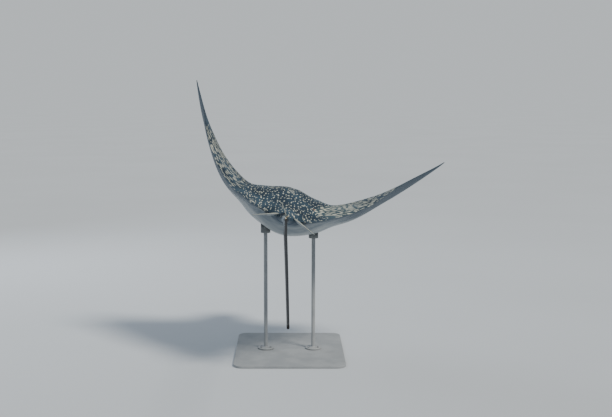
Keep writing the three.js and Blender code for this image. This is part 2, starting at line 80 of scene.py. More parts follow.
def curve(points):
    """A smooth curve through [place, value] points that never overshoots them."""
    x, y = np.array(sorted(points), float).T
    step = np.diff(x)
    rise = np.diff(y) / step
    slope = np.concatenate([rise[:1], np.zeros(len(x) - 2), rise[-1:]])
    for i in range(1, len(x) - 1):
        if rise[i - 1] * rise[i] > 0:
            before, after = 2 * step[i] + step[i - 1], step[i] + 2 * step[i - 1]
            slope[i] = (before + after) / (before / rise[i - 1] + after / rise[i])

    def read(place):
        at = np.clip(place, x[0], x[-1])
        i = np.clip(np.searchsorted(x, at) - 1, 0, len(x) - 2)
        t = (at - x[i]) / step[i]
        return ((2 * t**3 - 3 * t**2 + 1) * y[i] + (t**3 - 2 * t**2 + t) * step[i] * slope[i]
                + (3 * t**2 - 2 * t**3) * y[i + 1]
                + (t**3 - t**2) * step[i] * slope[i + 1])
    return read


def along(outline, shares):
    """Points at shares of the length of a smooth line through an outline's points."""
    points = np.array(outline, float)
    ends = np.vstack([2 * points[0] - points[1], points, 2 * points[-1] - points[-2]])
    gap = np.linalg.norm(np.diff(ends, axis=0), axis=1) ** .5
    t = np.linspace(0, 1, 60, endpoint=False)[:, None]
    arcs = []
    for i in range(len(points) - 1):
        a, b, c, d = ends[i:i + 4]
        leave = ((b - a) / gap[i] - (c - a) / (gap[i] + gap[i + 1])
                 + (c - b) / gap[i + 1]) * gap[i + 1]
        arrive = ((c - b) / gap[i + 1] - (d - b) / (gap[i + 1] + gap[i + 2])
                  + (d - c) / gap[i + 2]) * gap[i + 1]
        arcs.append(b + leave * t + (3 * (c - b) - 2 * leave - arrive) * t**2
                    + (2 * (b - c) + leave + arrive) * t**3)
    line = np.vstack(arcs + [points[-1:]])
    length = np.concatenate([[0], np.cumsum(np.linalg.norm(np.diff(line, axis=0), axis=1))])
    at = np.asarray(shares) * length[-1]
    return np.stack([np.interp(at, length, line[:, 0]), np.interp(at, length, line[:, 1])], 1)


def smoothstep(value, low, high):
    t = np.clip((value - low) / (high - low), 0, 1)
    return t * t * (3 - 2 * t)


# Forms of the disc in fractions of its width: the back and the belly along the midline, the
# level of the disc's edge, how far out the trunk reaches, how fast it falls away, and the
# depth of the wings.
back_height = curve([[.560, .0015], [.553, .0065], [.54, .0105], [.52, .015], [.505, .022],
                     [.49, .037], [.47, .0565], [.445, .068], [.36, .0715], [.20, .065],
                     [.10, .047], [.03, .030], [-.045, .0155]])
belly_depth = curve([[.560, .0015], [.553, .006], [.52, .011], [.49, .019], [.455, .034],
                     [.41, .052], [.36, .066], [.28, .0745], [.20, .071], [.10, .050],
                     [.03, .030], [-.045, .0155]])
edge_level = curve([[.56, -.022], [.52, -.021], [.485, -.015], [.45, -.006], [.41, 0],
                    [.40, 0]])
trunk_reach = curve([[.425, .088], [.40, .104], [.34, .141], [.26, .161], [.15, .144],
                     [.06, .105], [0, .062], [-.02, .042], [-.045, .0265]])
shoulder_power = curve([[.56, .5], [.44, .5], [.36, 1.1], [.26, 1.45], [.08, 1.3], [0, .8],
                        [-.045, .5]])
crown_power = curve([[.56, 2.2], [.50, 2.4], [.44, 2.8], [.36, 2.2], [.3, 2]])
wing_depth = curve([[0, .046], [.1, .0335], [.2, .0252], [.3, .0135], [.4, .006],
                    [.46, .0032], [.5, .0012]])
RIM = .0009                    # half the thickness that is left at the disc's edge
MELD = 2.2                     # how tightly the wings run into the trunk
lead = along([[0, .445]] + LEADING_EDGE, np.linspace(0, 1, 400))
rear = along(TRAILING_EDGE, np.linspace(0, 1, 400))[::-1]


def foil(place):
    """A rounded front and a fine rear, one unit high, over a chord of 0 to 1."""
    f = np.clip(place, 0, 1)
    return 10 * np.maximum(0, .2969 * np.sqrt(f) - .126 * f - .3516 * f**2 + .2843 * f**3
                           - .1036 * f**4)


def skin_height(x, y, side, reach, out):
    front, back = np.interp(x, lead[:, 0], lead[:, 1]), np.interp(x, rear[:, 0], rear[:, 1])
    wing = (wing_depth(x) * foil((front - y) / np.maximum(front - back, 1e-5))
            * smoothstep(x, .02, .11) * (1 + .06 * side))
    across = np.clip(x / np.maximum(reach, 1e-6), 0, 1)
    trunk = ((back_height(y) if side > 0 else belly_depth(y))
             * (1 - across ** crown_power(y)) ** shoulder_power(y))
    return (wing**MELD + trunk**MELD) ** (1 / MELD) + RIM * np.sqrt(np.maximum(1 - out**6, 0))


# Stations run from the snout round the wings' edges to the tail, closest together about the
# eyes, mouth and gills. Each has a centre on the midline and a point on the edge.
def crowded(count, weight):
    """count + 1 shares from 0 to 1, closer together where the weight is greater."""
    s = np.linspace(0, 1, 2000)
    total = np.concatenate([[0], np.cumsum(weight((s[1:] + s[:-1]) / 2))])
    return np.interp(np.linspace(0, 1, count + 1), total / total[-1], s)


def hump(value, middle, width):
    return np.exp(-((value - middle) / width)**2)


def head_weight(share):
    y = along(HEAD_EDGE, share)[:, 1]
    return (1 + 1.2 * hump(y, .452, .020) + .9 * hump(y, .490, .014)
            + .8 * smoothstep(y, .440, .426))


head_shares = crowded(126, head_weight)
leading_shares = crowded(104, lambda s: 1 + 4.5 * np.exp(-s / .07))
trailing_shares = crowded(104, lambda s: 1 + .6 * s)
inner_shares = np.linspace(0, 1, 23)
edges = np.vstack([along(HEAD_EDGE, head_shares), along(LEADING_EDGE, leading_shares)[1:],
                   along(TRAILING_EDGE, trailing_shares)[1:],
                   along(INNER_EDGE, inner_shares)[1:]])
centres = np.concatenate([
    along(HEAD_EDGE, head_shares)[:, 1],
    HEAD_START + (FAN_CENTRE - HEAD_START) * leading_shares[1:],
    FAN_CENTRE + (REAR_CENTRE - FAN_CENTRE) * trailing_shares[1:]**.95,
    REAR_CENTRE + (TAIL_START - REAR_CENTRE) * inner_shares[1:]])

EYE = np.array([.0705, .4535, .019]) * DISC_WIDTH
SPIRACLE = np.array([.0840, .4240, .0265]) * DISC_WIDTH


def half_section(side, count):
    """The right half of every section, from the midline to the edge, in flat metres, with
    its girth from the midline and its distance in from the edge, below 0 on the belly."""
    def places(r):
        x = edges[:, :1] * r
        y = centres[:, None] + (edges[:, 1:] - centres[:, None]) * r
        reach = np.where(y > HEAD_START, edges[:, :1], trunk_reach(y))
        z = edge_level(y) + side * skin_height(x, y, side, reach, r)
        z = np.where(r >= 1, edge_level(y), z)
        return np.stack([x, y, z], -1) * DISC_WIDTH
    fine = np.tile(1 - (1 - np.linspace(0, 1, 500))**2, (len(edges), 1))
    points = places(fine)
    steps = np.diff(points, axis=1)
    run = np.linalg.norm(steps, axis=2)
    length = np.concatenate([np.zeros((len(edges), 1)), np.cumsum(run, 1)], 1)
    left = length[:, -1:] - (length[:, 1:] + length[:, :-1]) / 2
    middle = (points[:, 1:] + points[:, :-1]) / 2
    weight = (1 + 3.2 * smoothstep(middle[..., 0], .17, .13) + 60 / (1 + left / .003)**2)
    if side > 0:
        for place, size in ((EYE, .022), (SPIRACLE, .016)):
            weight += 7 * np.exp(-np.sum(((middle - place) / size)**2, 2))
    total = np.concatenate([np.zeros((len(edges), 1)), np.cumsum(run * weight, 1)], 1)
    girth = np.concatenate([np.zeros((len(edges), 1)),
                            np.cumsum(np.hypot(steps[..., 0], steps[..., 2]), 1)], 1)
    rows = []
    for i in range(len(edges)):
        at = np.linspace(0, total[i, -1], count + 1)
        rows.append([np.interp(at, total[i], fine[i]), np.interp(at, total[i], girth[i]),
                     length[i, -1] - np.interp(at, total[i], length[i])])
    r, girth, inside = np.moveaxis(np.array(rows), 1, 0)
    return places(r), girth, inside * side


BACK_STEPS, BELLY_STEPS = 64, 46
back, back_girth, back_inside = half_section(1, BACK_STEPS)
belly, belly_girth, belly_inside = half_section(-1, BELLY_STEPS)
# The pattern's two halves meet at the edge.
belly_girth *= back_girth[:, -1:] / np.maximum(belly_girth[:, -1:], 1e-6)


def ring(belly_part, back_part, flip):
    """One closed row round each section: belly, right edge, back, left edge and belly."""
    right = np.concatenate([belly_part[:, :-1], back_part[:, ::-1]], 1)
    left = right[:, ::-1][:, 1:] * flip
    return np.concatenate([right, left], 1)


skin = ring(belly, back, np.array([-1, 1, 1]))
girth = ring(belly_girth, back_girth, -1)
inside = ring(belly_inside, back_inside, 1)


def normals(points):
    """Outward directions of a grid of points whose rows are closed rings."""
    down = np.gradient(points, axis=0)
    round_ = np.empty_like(points)
    round_[:, 1:-1] = points[:, 2:] - points[:, :-2]
    round_[:, 0] = round_[:, -1] = points[:, 1] - points[:, -2]
    n = np.cross(round_, down)
    return n / np.maximum(np.linalg.norm(n, axis=2, keepdims=True), 1e-12)


def band(value, start, full, fading, end):
    """1 from full to fading, easing to 0 at start and end."""
    return smoothstep(value, start, full) * smoothstep(value, end, fading)


# Forms of the head, pressed into or raised from the smooth shape. Their places are in
# fractions of the disc width, and their heights and what is measured in from the edge are in
# metres.
outward = normals(skin)
x, y = np.moveaxis(skin, 2, 0)[:2] / DISC_WIDTH
ax = np.abs(x)
on_back, on_belly = inside > 0, inside < 0
relief = np.zeros(x.shape)
# Shallow hollow between the eyes, brow ridges, and the step down to the snout's soft lobe.
relief -= on_back * .0030 * hump(ax, 0, .020) * band(y, .400, .440, .480, .505)
relief += on_back * .0034 * hump(ax, .057 - .10 * np.abs(y - .4535), .010) * hump(y, .4540, .022)
relief -= on_back * .0016 * hump(y, .5060 - .9 * ax**1.5, .0050) * smoothstep(ax, .054, .040)
# The faint furrow along the spine, between the long muscles.
relief -= on_back * .0022 * hump(ax, 0, .007) * band(y, -.03, .05, .33, .40)
# Mouth: a wide slit under the head with thick lips, a crease behind them, and a flap before.
MOUTH_Y, MOUTH_BOW, MOUTH_HALF = .4790, .0045, .0330
mouth_y = MOUTH_Y + MOUTH_BOW * np.cos(np.clip(ax / MOUTH_HALF, 0, 1) * math.pi / 2)
mouth = on_belly * smoothstep(ax, .0350, .0290) * hump(y, mouth_y, .0024)
relief -= .0090 * mouth
relief += on_belly * .0046 * smoothstep(ax, .042, .028) * hump(y, mouth_y - .0064, .0034)
relief -= on_belly * .0022 * smoothstep(ax, .046, .030) * hump(y, mouth_y - .0150, .0034)
flap_edge = mouth_y + .0024 + .0035 * hump(ax, 0, .0035)
relief += (on_belly * .0062 * smoothstep(ax, .0300, .0270)
           * band(y, flap_edge - .0006, flap_edge + .0008, .496, .512))
NOSTRIL = (.0315, .4965)
nostril = on_belly * hump(ax, NOSTRIL[0], .0032) * hump(y, NOSTRIL[1], .0042)
furrow = (on_belly * hump(ax, .0312 + .05 * (NOSTRIL[1] - y), .0014)
          * band(y, .478, .484, .495, .500))
relief -= .0070 * np.maximum(nostril, .55 * furrow)
# Grooves where the snout's lobe joins the head: one along each side, and one that crosses
# ahead of the nostrils.
relief -= (on_belly * .0032 * hump(-inside, .020 + .35 * np.clip(.4850 - y, 0, 1), .005)
           * hump(y, .4700, .018))
relief -= on_belly * .0034 * hump(y, .5130 - 2.2 * ax**2, .0034) * smoothstep(ax, .050, .036)
# Gill covers: five low steps on each side, each with its slit along the rear edge. Each has
# the place of its middle and half its width.
GILLS = [(.0600 - .0047 * k, .4040 - .0205 * k, .0145 - .0008 * k) for k in range(5)]


def slit_level(middle_y, aside):
    """How far forward a gill slit runs at a distance aside of its middle."""
    return middle_y + .16 * aside - 6.0 * aside * aside


for gill_x, gill_y, half in GILLS:
    slit_y = slit_level(gill_y, ax - gill_x)
    relief += on_belly * smoothstep(np.abs(ax - gill_x), half, half * .5) * (
        .0030 * band(y, slit_y - .0010, slit_y + .0014, slit_y + .003, slit_y + .014)
        - .0022 * hump(y, slit_y - .0014, .0024))
# Vent, on the belly between the roots of the pelvic fins.
vent = on_belly * hump(x, 0, .0030) * hump(y, -.012, .012)
relief -= .0050 * vent
# The rear edges of the wings are soft, and ripple a little.
station = np.cumsum(np.concatenate(
    [[0], np.linalg.norm(np.diff(edges, axis=0), axis=1)]))[:, None]
ripple = (smoothstep(station, .85, .98) * band(ax, .10, .17, .43, .49)
          * np.exp(-np.abs(inside) / .05)
          * (np.sin(station * 92) + .6 * np.sin(station * 57 + 1.3)))
skin = skin + outward * relief[..., None]
skin[..., 2] += .0016 * ripple


def frame_of(axis):
    """Fore and upward directions at right angles to an outward one."""
    axis = axis / np.linalg.norm(axis)
    fore = np.array([0, 1, 0]) - axis * axis[1]
    fore /= np.linalg.norm(fore)
    up = np.cross(axis, fore)
    return axis, fore, up * np.sign(up[2])


# Eyelids: the skin is drawn back from an almond opening and lies on the ball of the eye.
EYE_RADII = np.array([.0131, .0175, .01575])
EYE_AXIS = np.array([1, .10, .34])
OPENING = (.0138, .0098)
FAR = 4.0                      # a mark's value well away from the eye, in sizes of the opening
lid = np.full(x.shape, FAR)
pit = np.zeros(x.shape)
for side in (1, -1):
    flip = np.array([side, 1, 1])
    axis, fore, up = frame_of(EYE_AXIS * flip)
    rel = skin - EYE * flip
    a, b, n = rel @ fore, rel @ up, rel @ axis
    near = (np.sign(skin[..., 0]) == side) & (n > -.008)
    around = np.hypot(a / OPENING[0], b / OPENING[1])
    snap = near & (np.abs(around - 1) < .075)
    factor = np.where(snap, 1 / np.maximum(around, 1e-6), 1)
    a, b, around = a * factor, b * factor, np.where(snap, 1, around)
    rim_a, rim_b = a / np.maximum(around, 1), b / np.maximum(around, 1)
    ball = EYE_RADII[0] * np.sqrt(np.maximum(0, 1 - (rim_a / EYE_RADII[1])**2
                                             - (rim_b / EYE_RADII[2])**2))
    brow = smoothstep(b, -.004, .012)
    raised = ball + .0012 + .0012 * brow + .0011 * hump(around, 1.22, .16)
    blend = 1 - smoothstep(around, 1.15 + .25 * brow, 2.25)
    level = n + (np.maximum(raised, n) - n) * blend
    level -= (.0015 + .0010 * brow) * hump(around, 1.58, .17)
    level += .0009 * brow * hump(around, 2.0, .24)
    level = np.where(around < .999, np.minimum(n, ball - .0045), level)
    moved = (EYE * flip + a[..., None] * fore + b[..., None] * up + level[..., None] * axis)
    use = near & (around < 2.3)
    skin = np.where(use[..., None], moved, skin)
    lid = np.where(near, np.minimum(lid, around), lid)
    # Spiracle: a wide hole just behind the eye, with a fleshy valve on its front wall.
    axis, fore, up = frame_of(np.array([.62, -.10, .78]) * flip)
    rel = skin - SPIRACLE * flip
    a, b, n = rel @ fore, rel @ up, rel @ axis
    near = (np.sign(skin[..., 0]) == side) & (inside > -.004)
    around = np.hypot((a + .001) / .0200, b / (.0088 - .12 * np.clip(a, -.02, .02)))
    near &= around < 2.2
    depth = .0150 * smoothstep(around, 1.0, .55) - .0016 * hump(around, 1.22, .20)
    depth -= .0060 * hump(a, .0085, .0050) * smoothstep(around, .95, .6)
    skin = np.where(near[..., None], skin - axis * depth[..., None], skin)
    pit = np.where(near, np.maximum(pit, smoothstep(around, 1.0, .62)), pit)

# Where painted shade goes: in the spiracles, the mouth, the nostrils and the vent.
pit = np.maximum.reduce([pit, .55 * smoothstep(mouth, .1, 1),
                         .9 * smoothstep(nostril, .2, .7), .6 * vent])


def along_slope(slope, length, steps=500):
    """Running totals of a slope in degrees: how far across and up it gets."""
    angle = np.radians(slope((np.arange(steps) + .5) / steps * length))
    place = np.linspace(0, length, steps + 1)
    across = np.concatenate([[0], np.cumsum(np.cos(angle))]) * length / steps
    up = np.concatenate([[0], np.cumsum(np.sin(angle))]) * length / steps
    return lambda distance: (np.interp(distance, place, across),
                             np.interp(distance, place, up))


left_rise = curve([[0, 0], [.05, 0], [.10, 9], [.16, 25], [.22, 39.5], [.28, 49], [.35, 56],
                   [.42, 60], [.5, 61]])
right_rise = curve([[0, 0], [.05, 5.5], [.10, 16], [.16, 29], [.22, 40], [.28, 44.5],
                    [.35, 47.5], [.42, 48], [.5, 48.5]])
left_twist = curve([[0, 0], [.05, 0], [.10, .9], [.13, 1.4], [.16, -.3], [.20, -1.6],
                    [.28, -1.5], [.34, -1], [.38, 2], [.42, 6], [.5, 8]])
right_twist = curve([[0, 0], [.05, 0], [.10, 1.2], [.13, 1.5], [.16, .6], [.20, -.1],
                     [.25, .1], [.28, 1.5], [.34, 5.5], [.42, 9], [.5, 10]])
rear_sink = curve([[.22, 0], [.16, .0035], [.10, .011], [.04, .0185], [-.02, .0215],
                   [-.045, .022]])
rear_shift = curve([[.22, 0], [.10, .0018], [-.02, .0035], [-.045, .0035]])
twist_axis = curve([[0, .285], [.1, .285], [.2, .26], [.5, .19]])
tail_drop = curve([[-1.5, 4.9], [-.6, 4.9], [-.25, 5.3], [-.10, 5], [-.04, 3], [0, 0]])
tail_swing = curve([[-1.5, 1.8], [-.3, 1.9], [-.08, 1], [0, 0]])
left_wing, right_wing = along_slope(left_rise, .5), along_slope(right_rise, .5)
tail_down = along_slope(lambda behind: tail_drop(-behind), -TAIL_END)
tail_aside = along_slope(lambda behind: tail_swing(-behind), -TAIL_END)


def pose(flat):
    """Raises the wings and trains the tail of flat points in metres; the head stays."""
    flat = np.asarray(flat, float) / DISC_WIDTH
    x, y, z = np.moveaxis(flat, -1, 0)
    out = np.abs(x)
    twist = np.radians(np.where(x < 0, left_twist(out), right_twist(out)))
    fore = y - twist_axis(out)
    height = z * np.cos(twist) - fore * np.sin(twist)
    rise = np.radians(np.where(x < 0, left_rise(out), right_rise(out)))
    across = np.where(x < 0, left_wing(out)[0], right_wing(out)[0])
    up = np.where(x < 0, left_wing(out)[1], right_wing(out)[1])
    posed = np.stack([np.sign(x) * (across - height * np.sin(rise)),
                      twist_axis(out) + fore * np.cos(twist) + z * np.sin(twist),
                      up + height * np.cos(rise)], -1)
    keep = smoothstep(y, .40, .46)[..., None]
    posed = posed + (flat - posed) * keep
    bend = 1 - np.where(x < 0, smoothstep(out, .10, .23), smoothstep(out, .06, .22))
    posed = posed + np.stack([rear_shift(y) * bend, 0 * y, -rear_sink(y) * bend], -1)
    drop = np.radians(tail_drop(y))
    back, down = tail_down(-y)
    trained = np.stack([posed[..., 0] + tail_aside(-y)[1], -back - posed[..., 2] * np.sin(drop),
                        posed[..., 2] * np.cos(drop) - down], -1)
    share = ((y < 0) * (1 - smoothstep(out, .05, .12)))[..., None]
    return (posed + (trained - posed) * share) * DISC_WIDTH


def placed(points):
    """Posed points of the animal, banked and set over the stand."""
    turn = np.array(STAND_ON.to_3x3())
    return points @ turn.T + np.array(STAND_ON.translation)


def rolled(mesh, rows):
    """Lays a grid through rows of points, and gives each corner, its row and its place in it."""
    count, around = rows.shape[:2]
    grid = bmesh.ops.create_grid(mesh, x_segments=count - 1, y_segments=around - 1, size=.5)
    for vert in grid['verts']:
        i = round((vert.co.x + .5) * (count - 1))
        j = round((vert.co.y + .5) * (around - 1))
        vert.co = rows[i, j]
        yield vert, i, j


MARKS = ('back', 'lid', 'pit', 'hem')


def add_shell(mesh, rows, flat, form=None, **marks):
    """A closed tube through rows of points. flat is the place in the pattern, form the place
    before posing, and the marks say where the skin changes."""
    numbers, places = mesh.verts.layers.float, mesh.verts.layers.float_vector
    mark_layers = {name: numbers.get(name) or numbers.new(name) for name in MARKS}
    flat_layer, form_layer = (places.get(name) or places.new(name) for name in ('flat', 'form'))
    form = flat if form is None else form
    shell = []
    for vert, i, j in rolled(mesh, rows):
        shell.append(vert)
        vert[flat_layer] = flat[i, j]
        vert[form_layer] = form[i, j]
        for name, values in marks.items():
            vert[mark_layers[name]] = values[i, j]
    bmesh.ops.remove_doubles(mesh, verts=shell, dist=1e-6)


hide = bmesh.new()
flat = np.stack([girth, skin[..., 1], 0 * girth], -1)
add_shell(hide, placed(pose(skin)), flat, skin, back=inside, lid=lid, pit=pit)


# Tail: a long whip that tapers fast behind the disc and then slowly to a blunt end.
def tail_half_width(y):
    behind = TAIL_START - y
    left = 1 - behind / (TAIL_START - TAIL_END)
    return .0018 + .0034 * left + .0213 * np.exp(-behind / .033)


def tail_half_height(y):
    behind = TAIL_START - y
    left = 1 - behind / (TAIL_START - TAIL_END)
    return .0018 + .0032 * left + .0105 * np.exp(-behind / .05)


TAIL_ROUND, TAIL_RINGS, TIP_RINGS = 32, 190, 5
TAIL_FRONT = TAIL_START - .0012
tail_y = TAIL_FRONT + (TAIL_END - TAIL_FRONT) * np.linspace(0, 1, TAIL_RINGS)**1.35
tail_y = np.concatenate([tail_y, np.full(TIP_RINGS, TAIL_END)])[:, None]
rounding = np.linspace(.3, math.pi / 2, TIP_RINGS)
slimmer = np.linspace(.3, math.pi / 2 - .02, TIP_RINGS)
close = np.concatenate([np.ones(TAIL_RINGS), np.cos(slimmer)])[:, None]
bluff = np.concatenate([np.zeros(TAIL_RINGS), np.sin(rounding) * .0016])[:, None]
angle = np.linspace(0, 2 * math.pi, TAIL_ROUND + 1)[None]
rough = 1 + .035 * np.sin(tail_y * 310) * smoothstep(tail_y, -.12, -.3)
half_w, half_h = tail_half_width(tail_y), tail_half_height(tail_y)
tail_flat = np.stack([-half_w * np.sin(angle) * close * rough, tail_y - bluff + 0 * angle,
                      -half_h * np.cos(angle) * close * rough], -1) * DISC_WIDTH
quarter = 1 - np.abs(1 - (angle % math.pi) / (math.pi / 2))
tail_marks = np.stack([-np.sign(np.sin(angle)) * quarter * half_w * DISC_WIDTH * 1.3,
                       tail_flat[..., 1], 0 * tail_flat[..., 1]], -1)
tail_inside = -np.cos(angle) * half_h * DISC_WIDTH
add_shell(hide, placed(pose(tail_flat)), tail_marks, back=tail_inside,
          lid=0 * tail_inside + FAR)


def open_ring(level):
    """The open edges of the skin at one level of y before posing."""
    flat_layer = hide.verts.layers.float_vector['flat']
    return [e for e in hide.edges if e.is_boundary
            and all(abs(v[flat_layer].y - level * DISC_WIDTH) < 1e-4 for v in e.verts)]


bmesh.ops.bridge_loops(hide, edges=open_ring(TAIL_START) + open_ring(TAIL_FRONT))
bmesh.ops.holes_fill(hide, edges=[e for e in hide.edges if e.is_boundary], sides=400)

# Pelvic fins: two rounded lobes that hang from the rear of the trunk beside the tail. Each
# is a thin pad of cartilage and hide, part of the same casting.
pelvic_front = curve([[0, .045], [.030, .020], [.054, -.020], [.067, -.052], [.071, -.066]])
pelvic_rear = curve([[0, -.050], [.013, -.078], [.033, -.098], [.054, -.097], [.067, -.082],
                     [.071, -.072]])
pelvic_depth = curve([[0, .0060], [.033, .0034], [.058, .0018], [.071, .0008]])
PELVIC_SPAN, PELVIC_ROOT, PELVIC_DROOP = .071, (.020, .0045), math.radians(20)


def blade(front, rear, half, steps=16):
    """Rings round a thin fin: distance along the chord, one through it, its side, and how
    near its rear hem."""
    t = np.concatenate([np.linspace(0, 1, steps + 1), np.linspace(1, 0, steps + 1)[1:]])[None]
    side = np.concatenate([np.ones(steps), [0], -np.ones(steps)])[None]
    f = (1 - np.cos(math.pi * t)) / 2
    chord = front[:, None] + (rear - front)[:, None] * f
    through = side * (half[:, None] * foil(f) + .15 * RIM * np.sin(math.pi * f)**.25)
    return chord, through, side + 0 * chord, smoothstep(f, .55, .95) + 0 * chord


PATTERN_SHIFT = .28            # keeps the fins' share of the pattern clear of the tail's
for side in (1, -1):
    span = PELVIC_SPAN * np.sin(np.linspace(0, 1, 26) * math.pi / 2)
    chord, through, face, hem = blade(pelvic_front(span), pelvic_rear(span),
                                      pelvic_depth(span))
    span = span[:, None] + 0 * chord
    points = np.stack([side * (PELVIC_ROOT[0] + span * math.cos(PELVIC_DROOP)), chord,
                       PELVIC_ROOT[1] - span * math.sin(PELVIC_DROOP) + through], -1)
    points += [float(rear_shift(TAIL_START)), 0, -float(rear_sink(TAIL_START))]
    spread = np.stack([side * (.05 + span), chord + PATTERN_SHIFT, 0 * chord], -1)
    add_shell(hide, placed(points * DISC_WIDTH), spread * DISC_WIDTH, back=face * .02,
              lid=0 * chord + FAR, hem=hem)

# Dorsal fin: one small swept fin on the root of the tail, ahead of the spines. It is soft in
# life, and is cast with its tip bent over to the left.
DORSAL_FRONT, DORSAL_LENGTH, DORSAL_HEIGHT, DORSAL_LEAN = -.047, .042, .037, .022
up = np.sin(np.linspace(0, 1, 24) * math.pi / 2)
chord, through, _, hem = blade(
    DORSAL_FRONT - .8 * DORSAL_LENGTH * up**2,
    DORSAL_FRONT - DORSAL_LENGTH * (1 + .12 * np.sin(up * math.pi)), .0030 - .0022 * up)
up = up[:, None] + 0 * chord
points = np.stack([-through - DORSAL_LEAN * up**1.6, chord, DORSAL_HEIGHT * up], -1)
spread = np.stack([.02 + DORSAL_HEIGHT * up, chord + PATTERN_SHIFT, 0 * chord], -1)
add_shell(hide, placed(pose(points * DISC_WIDTH)), spread * DISC_WIDTH, back=.02 + 0 * chord,
          lid=0 * chord + FAR, hem=hem * .8)
bmesh.ops.holes_fill(hide, edges=[e for e in hide.edges if e.is_boundary], sides=400)
bmesh.ops.recalc_face_normals(hide, faces=hide.faces)


def added(name, data):
    """A new object in the scene."""
    thing = bpy.data.objects.new(name, data)
    bpy.context.scene.collection.objects.link(thing)
    return thing


def finished(mesh, name, finish, smooth=True):
    """The piece in its finish, as a shown object at the origin that rides with the model."""
    data = bpy.data.meshes.new(name)
    mesh.to_mesh(data)
    mesh.free()
    data.polygons.foreach_set('use_smooth', [smooth] * len(data.polygons))
    data.materials.append(finish)
    piece = added(name, data)
    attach(piece, 'root')
    return piece


class Wire:
    """One output on its way through a material's nodes. Python's operators on it add Math
    nodes; node() adds any other."""

    def __init__(self, tree, socket=None):
        self.tree, self.socket = tree, socket

    def node(self, kind, settings=None, inputs=None, output=0):
        made = self.tree.nodes.new(kind)
        for name, value in (settings or {}).items():
            setattr(made, name, value)
        for name, value in (inputs or {}).items():
            if isinstance(value, Wire):
                self.tree.links.new(value.socket, made.inputs[name])
            else:
                made.inputs[name].default_value = value
        return Wire(self.tree, made.outputs[output])

    def beside(self, *outputs):
        """Other outputs of the node that this one comes from."""
        return [Wire(self.tree, self.socket.node.outputs[name]) for name in outputs]

    def maths(self, operation, *others):
        values = dict(enumerate((self,) + others))
        return self.node('ShaderNodeMath', {'operation': operation}, values)

    def reflected(self, operation, other):
        return self.node('ShaderNodeMath', {'operation': operation}, {0: other, 1: self})

    def __add__(self, other): return self.maths('ADD', other)
    def __radd__(self, other): return self.maths('ADD', other)
    def __sub__(self, other): return self.maths('SUBTRACT', other)
    def __rsub__(self, other): return self.reflected('SUBTRACT', other)
    def __mul__(self, other): return self.maths('MULTIPLY', other)
    def __rmul__(self, other): return self.maths('MULTIPLY', other)
    def __truediv__(self, other): return self.maths('DIVIDE', other)
    def __rtruediv__(self, other): return self.reflected('DIVIDE', other)

    def eased(self, low, high):
        """0 below low and 1 above high, or the other way round, with a soft step between."""
        return self.node('ShaderNodeMapRange', {'interpolation_type': 'SMOOTHSTEP'},
                         {'Value': self, 'From Min': min(low, high), 'From Max': max(low, high),
                          'To Min': float(low > high), 'To Max': float(low < high)})

    def vector(self, operation, other, output=0):
        return self.node('ShaderNodeVectorMath', {'operation': operation}, {0: self, 1: other},
                         output)

    def noise(self, scale, detail=3, rough=.5, output=0):
        return self.node('ShaderNodeTexNoise', {}, {'Vector': self, 'Scale': scale,
                         'Detail': detail, 'Roughness': rough}, output)

    def attribute(self, name, output=2):
        """What the mesh stores under a name: a number, or a vector as output 1."""
        return self.node('ShaderNodeAttribute', {'attribute_name': name}, output=output)

    def on_object(self):
        """The place on the object, in metres."""
        return self.node('ShaderNodeTexCoord', output=3)

    def bump(self, strength, distance):
        return self.node('ShaderNodeBump', {}, {'Height': self, 'Strength': strength,
                                                'Distance': distance})

    def parts(self):
        """The first two parts of a vector."""
        return self.node('ShaderNodeSeparateXYZ', {}, {0: self}).beside(0, 1)


def paint(first, second, share):
    """One colour laid over another; share 0 keeps the first."""
    made = share.tree.nodes.new('ShaderNodeMix')
    made.data_type = 'RGBA'
    for slot, value in ((0, share), (6, first), (7, second)):
        if isinstance(value, Wire):
            share.tree.links.new(value.socket, made.inputs[slot])
        else:
            made.inputs[slot].default_value = (*value, 1)
    return Wire(share.tree, made.outputs[2])


def new_finish(name):
    material = bpy.data.materials.new(name)
    material.use_nodes = True
    tree = material.node_tree
    tree.nodes.clear()
    return material, Wire(tree)


def complete(start, **inputs):
    """The Principled shader and the output that end a material."""
    shader = start.node('ShaderNodeBsdfPrincipled', {},
                        {name.replace('_', ' '): value for name, value in inputs.items()})
    end = start.tree.nodes.new('ShaderNodeOutputMaterial')
    start.tree.links.new(shader.socket, end.inputs['Surface'])


def srgb(*channels):
    """A colour named as 0 to 255 on a screen, in the linear values that shaders mix."""
    return tuple(c / 255 / 12.92 if c <= 10 else ((c / 255 + .055) / 1.055)**2.4
                 for c in channels)


skin_paint, start = new_finish('painted hide')
flat, form = start.attribute('flat', 1), start.attribute('form', 1)
back, lid, pit, hem = (start.attribute(name) for name in MARKS)
px, py = flat.parts()
span = px.maths('ABSOLUTE')

# Ground colours: slate on the back, chalky white below, and a brown-black whip.
broad, medium, fine = flat.noise(7, 4, .55), flat.noise(34, 4, .6), flat.noise(240, 3, .6)
slate = paint(srgb(30, 46, 62), srgb(58, 80, 96), broad.eased(.36, .66))
slate = paint(slate, srgb(40, 52, 56), medium.eased(.50, .72) * .6)
slate = paint(slate, srgb(20, 30, 40), fine.eased(.56, .74) * .45)
belly_white = paint(srgb(206, 211, 210), srgb(160, 176, 188), broad.eased(.46, .72) * .8)
belly_white = paint(belly_white, srgb(132, 146, 158), medium.eased(.60, .80) * .35)
# The belly's dusky wash is partly its own colour, dusky towards the wing tips and along its
# edges, and partly painted shade that darkens the undersides of the wings and the rear of the
# belly.
dusk_and_shade = (span.eased(.14, .62) * .9 + py.eased(.72, .04) * .82
        + (1 - back.maths('ABSOLUTE').eased(.0, .055)) * .35)
belly_white = paint(belly_white, srgb(62, 80, 95), (dusk_and_shade * (broad + .55)).eased(.06, 1.20))


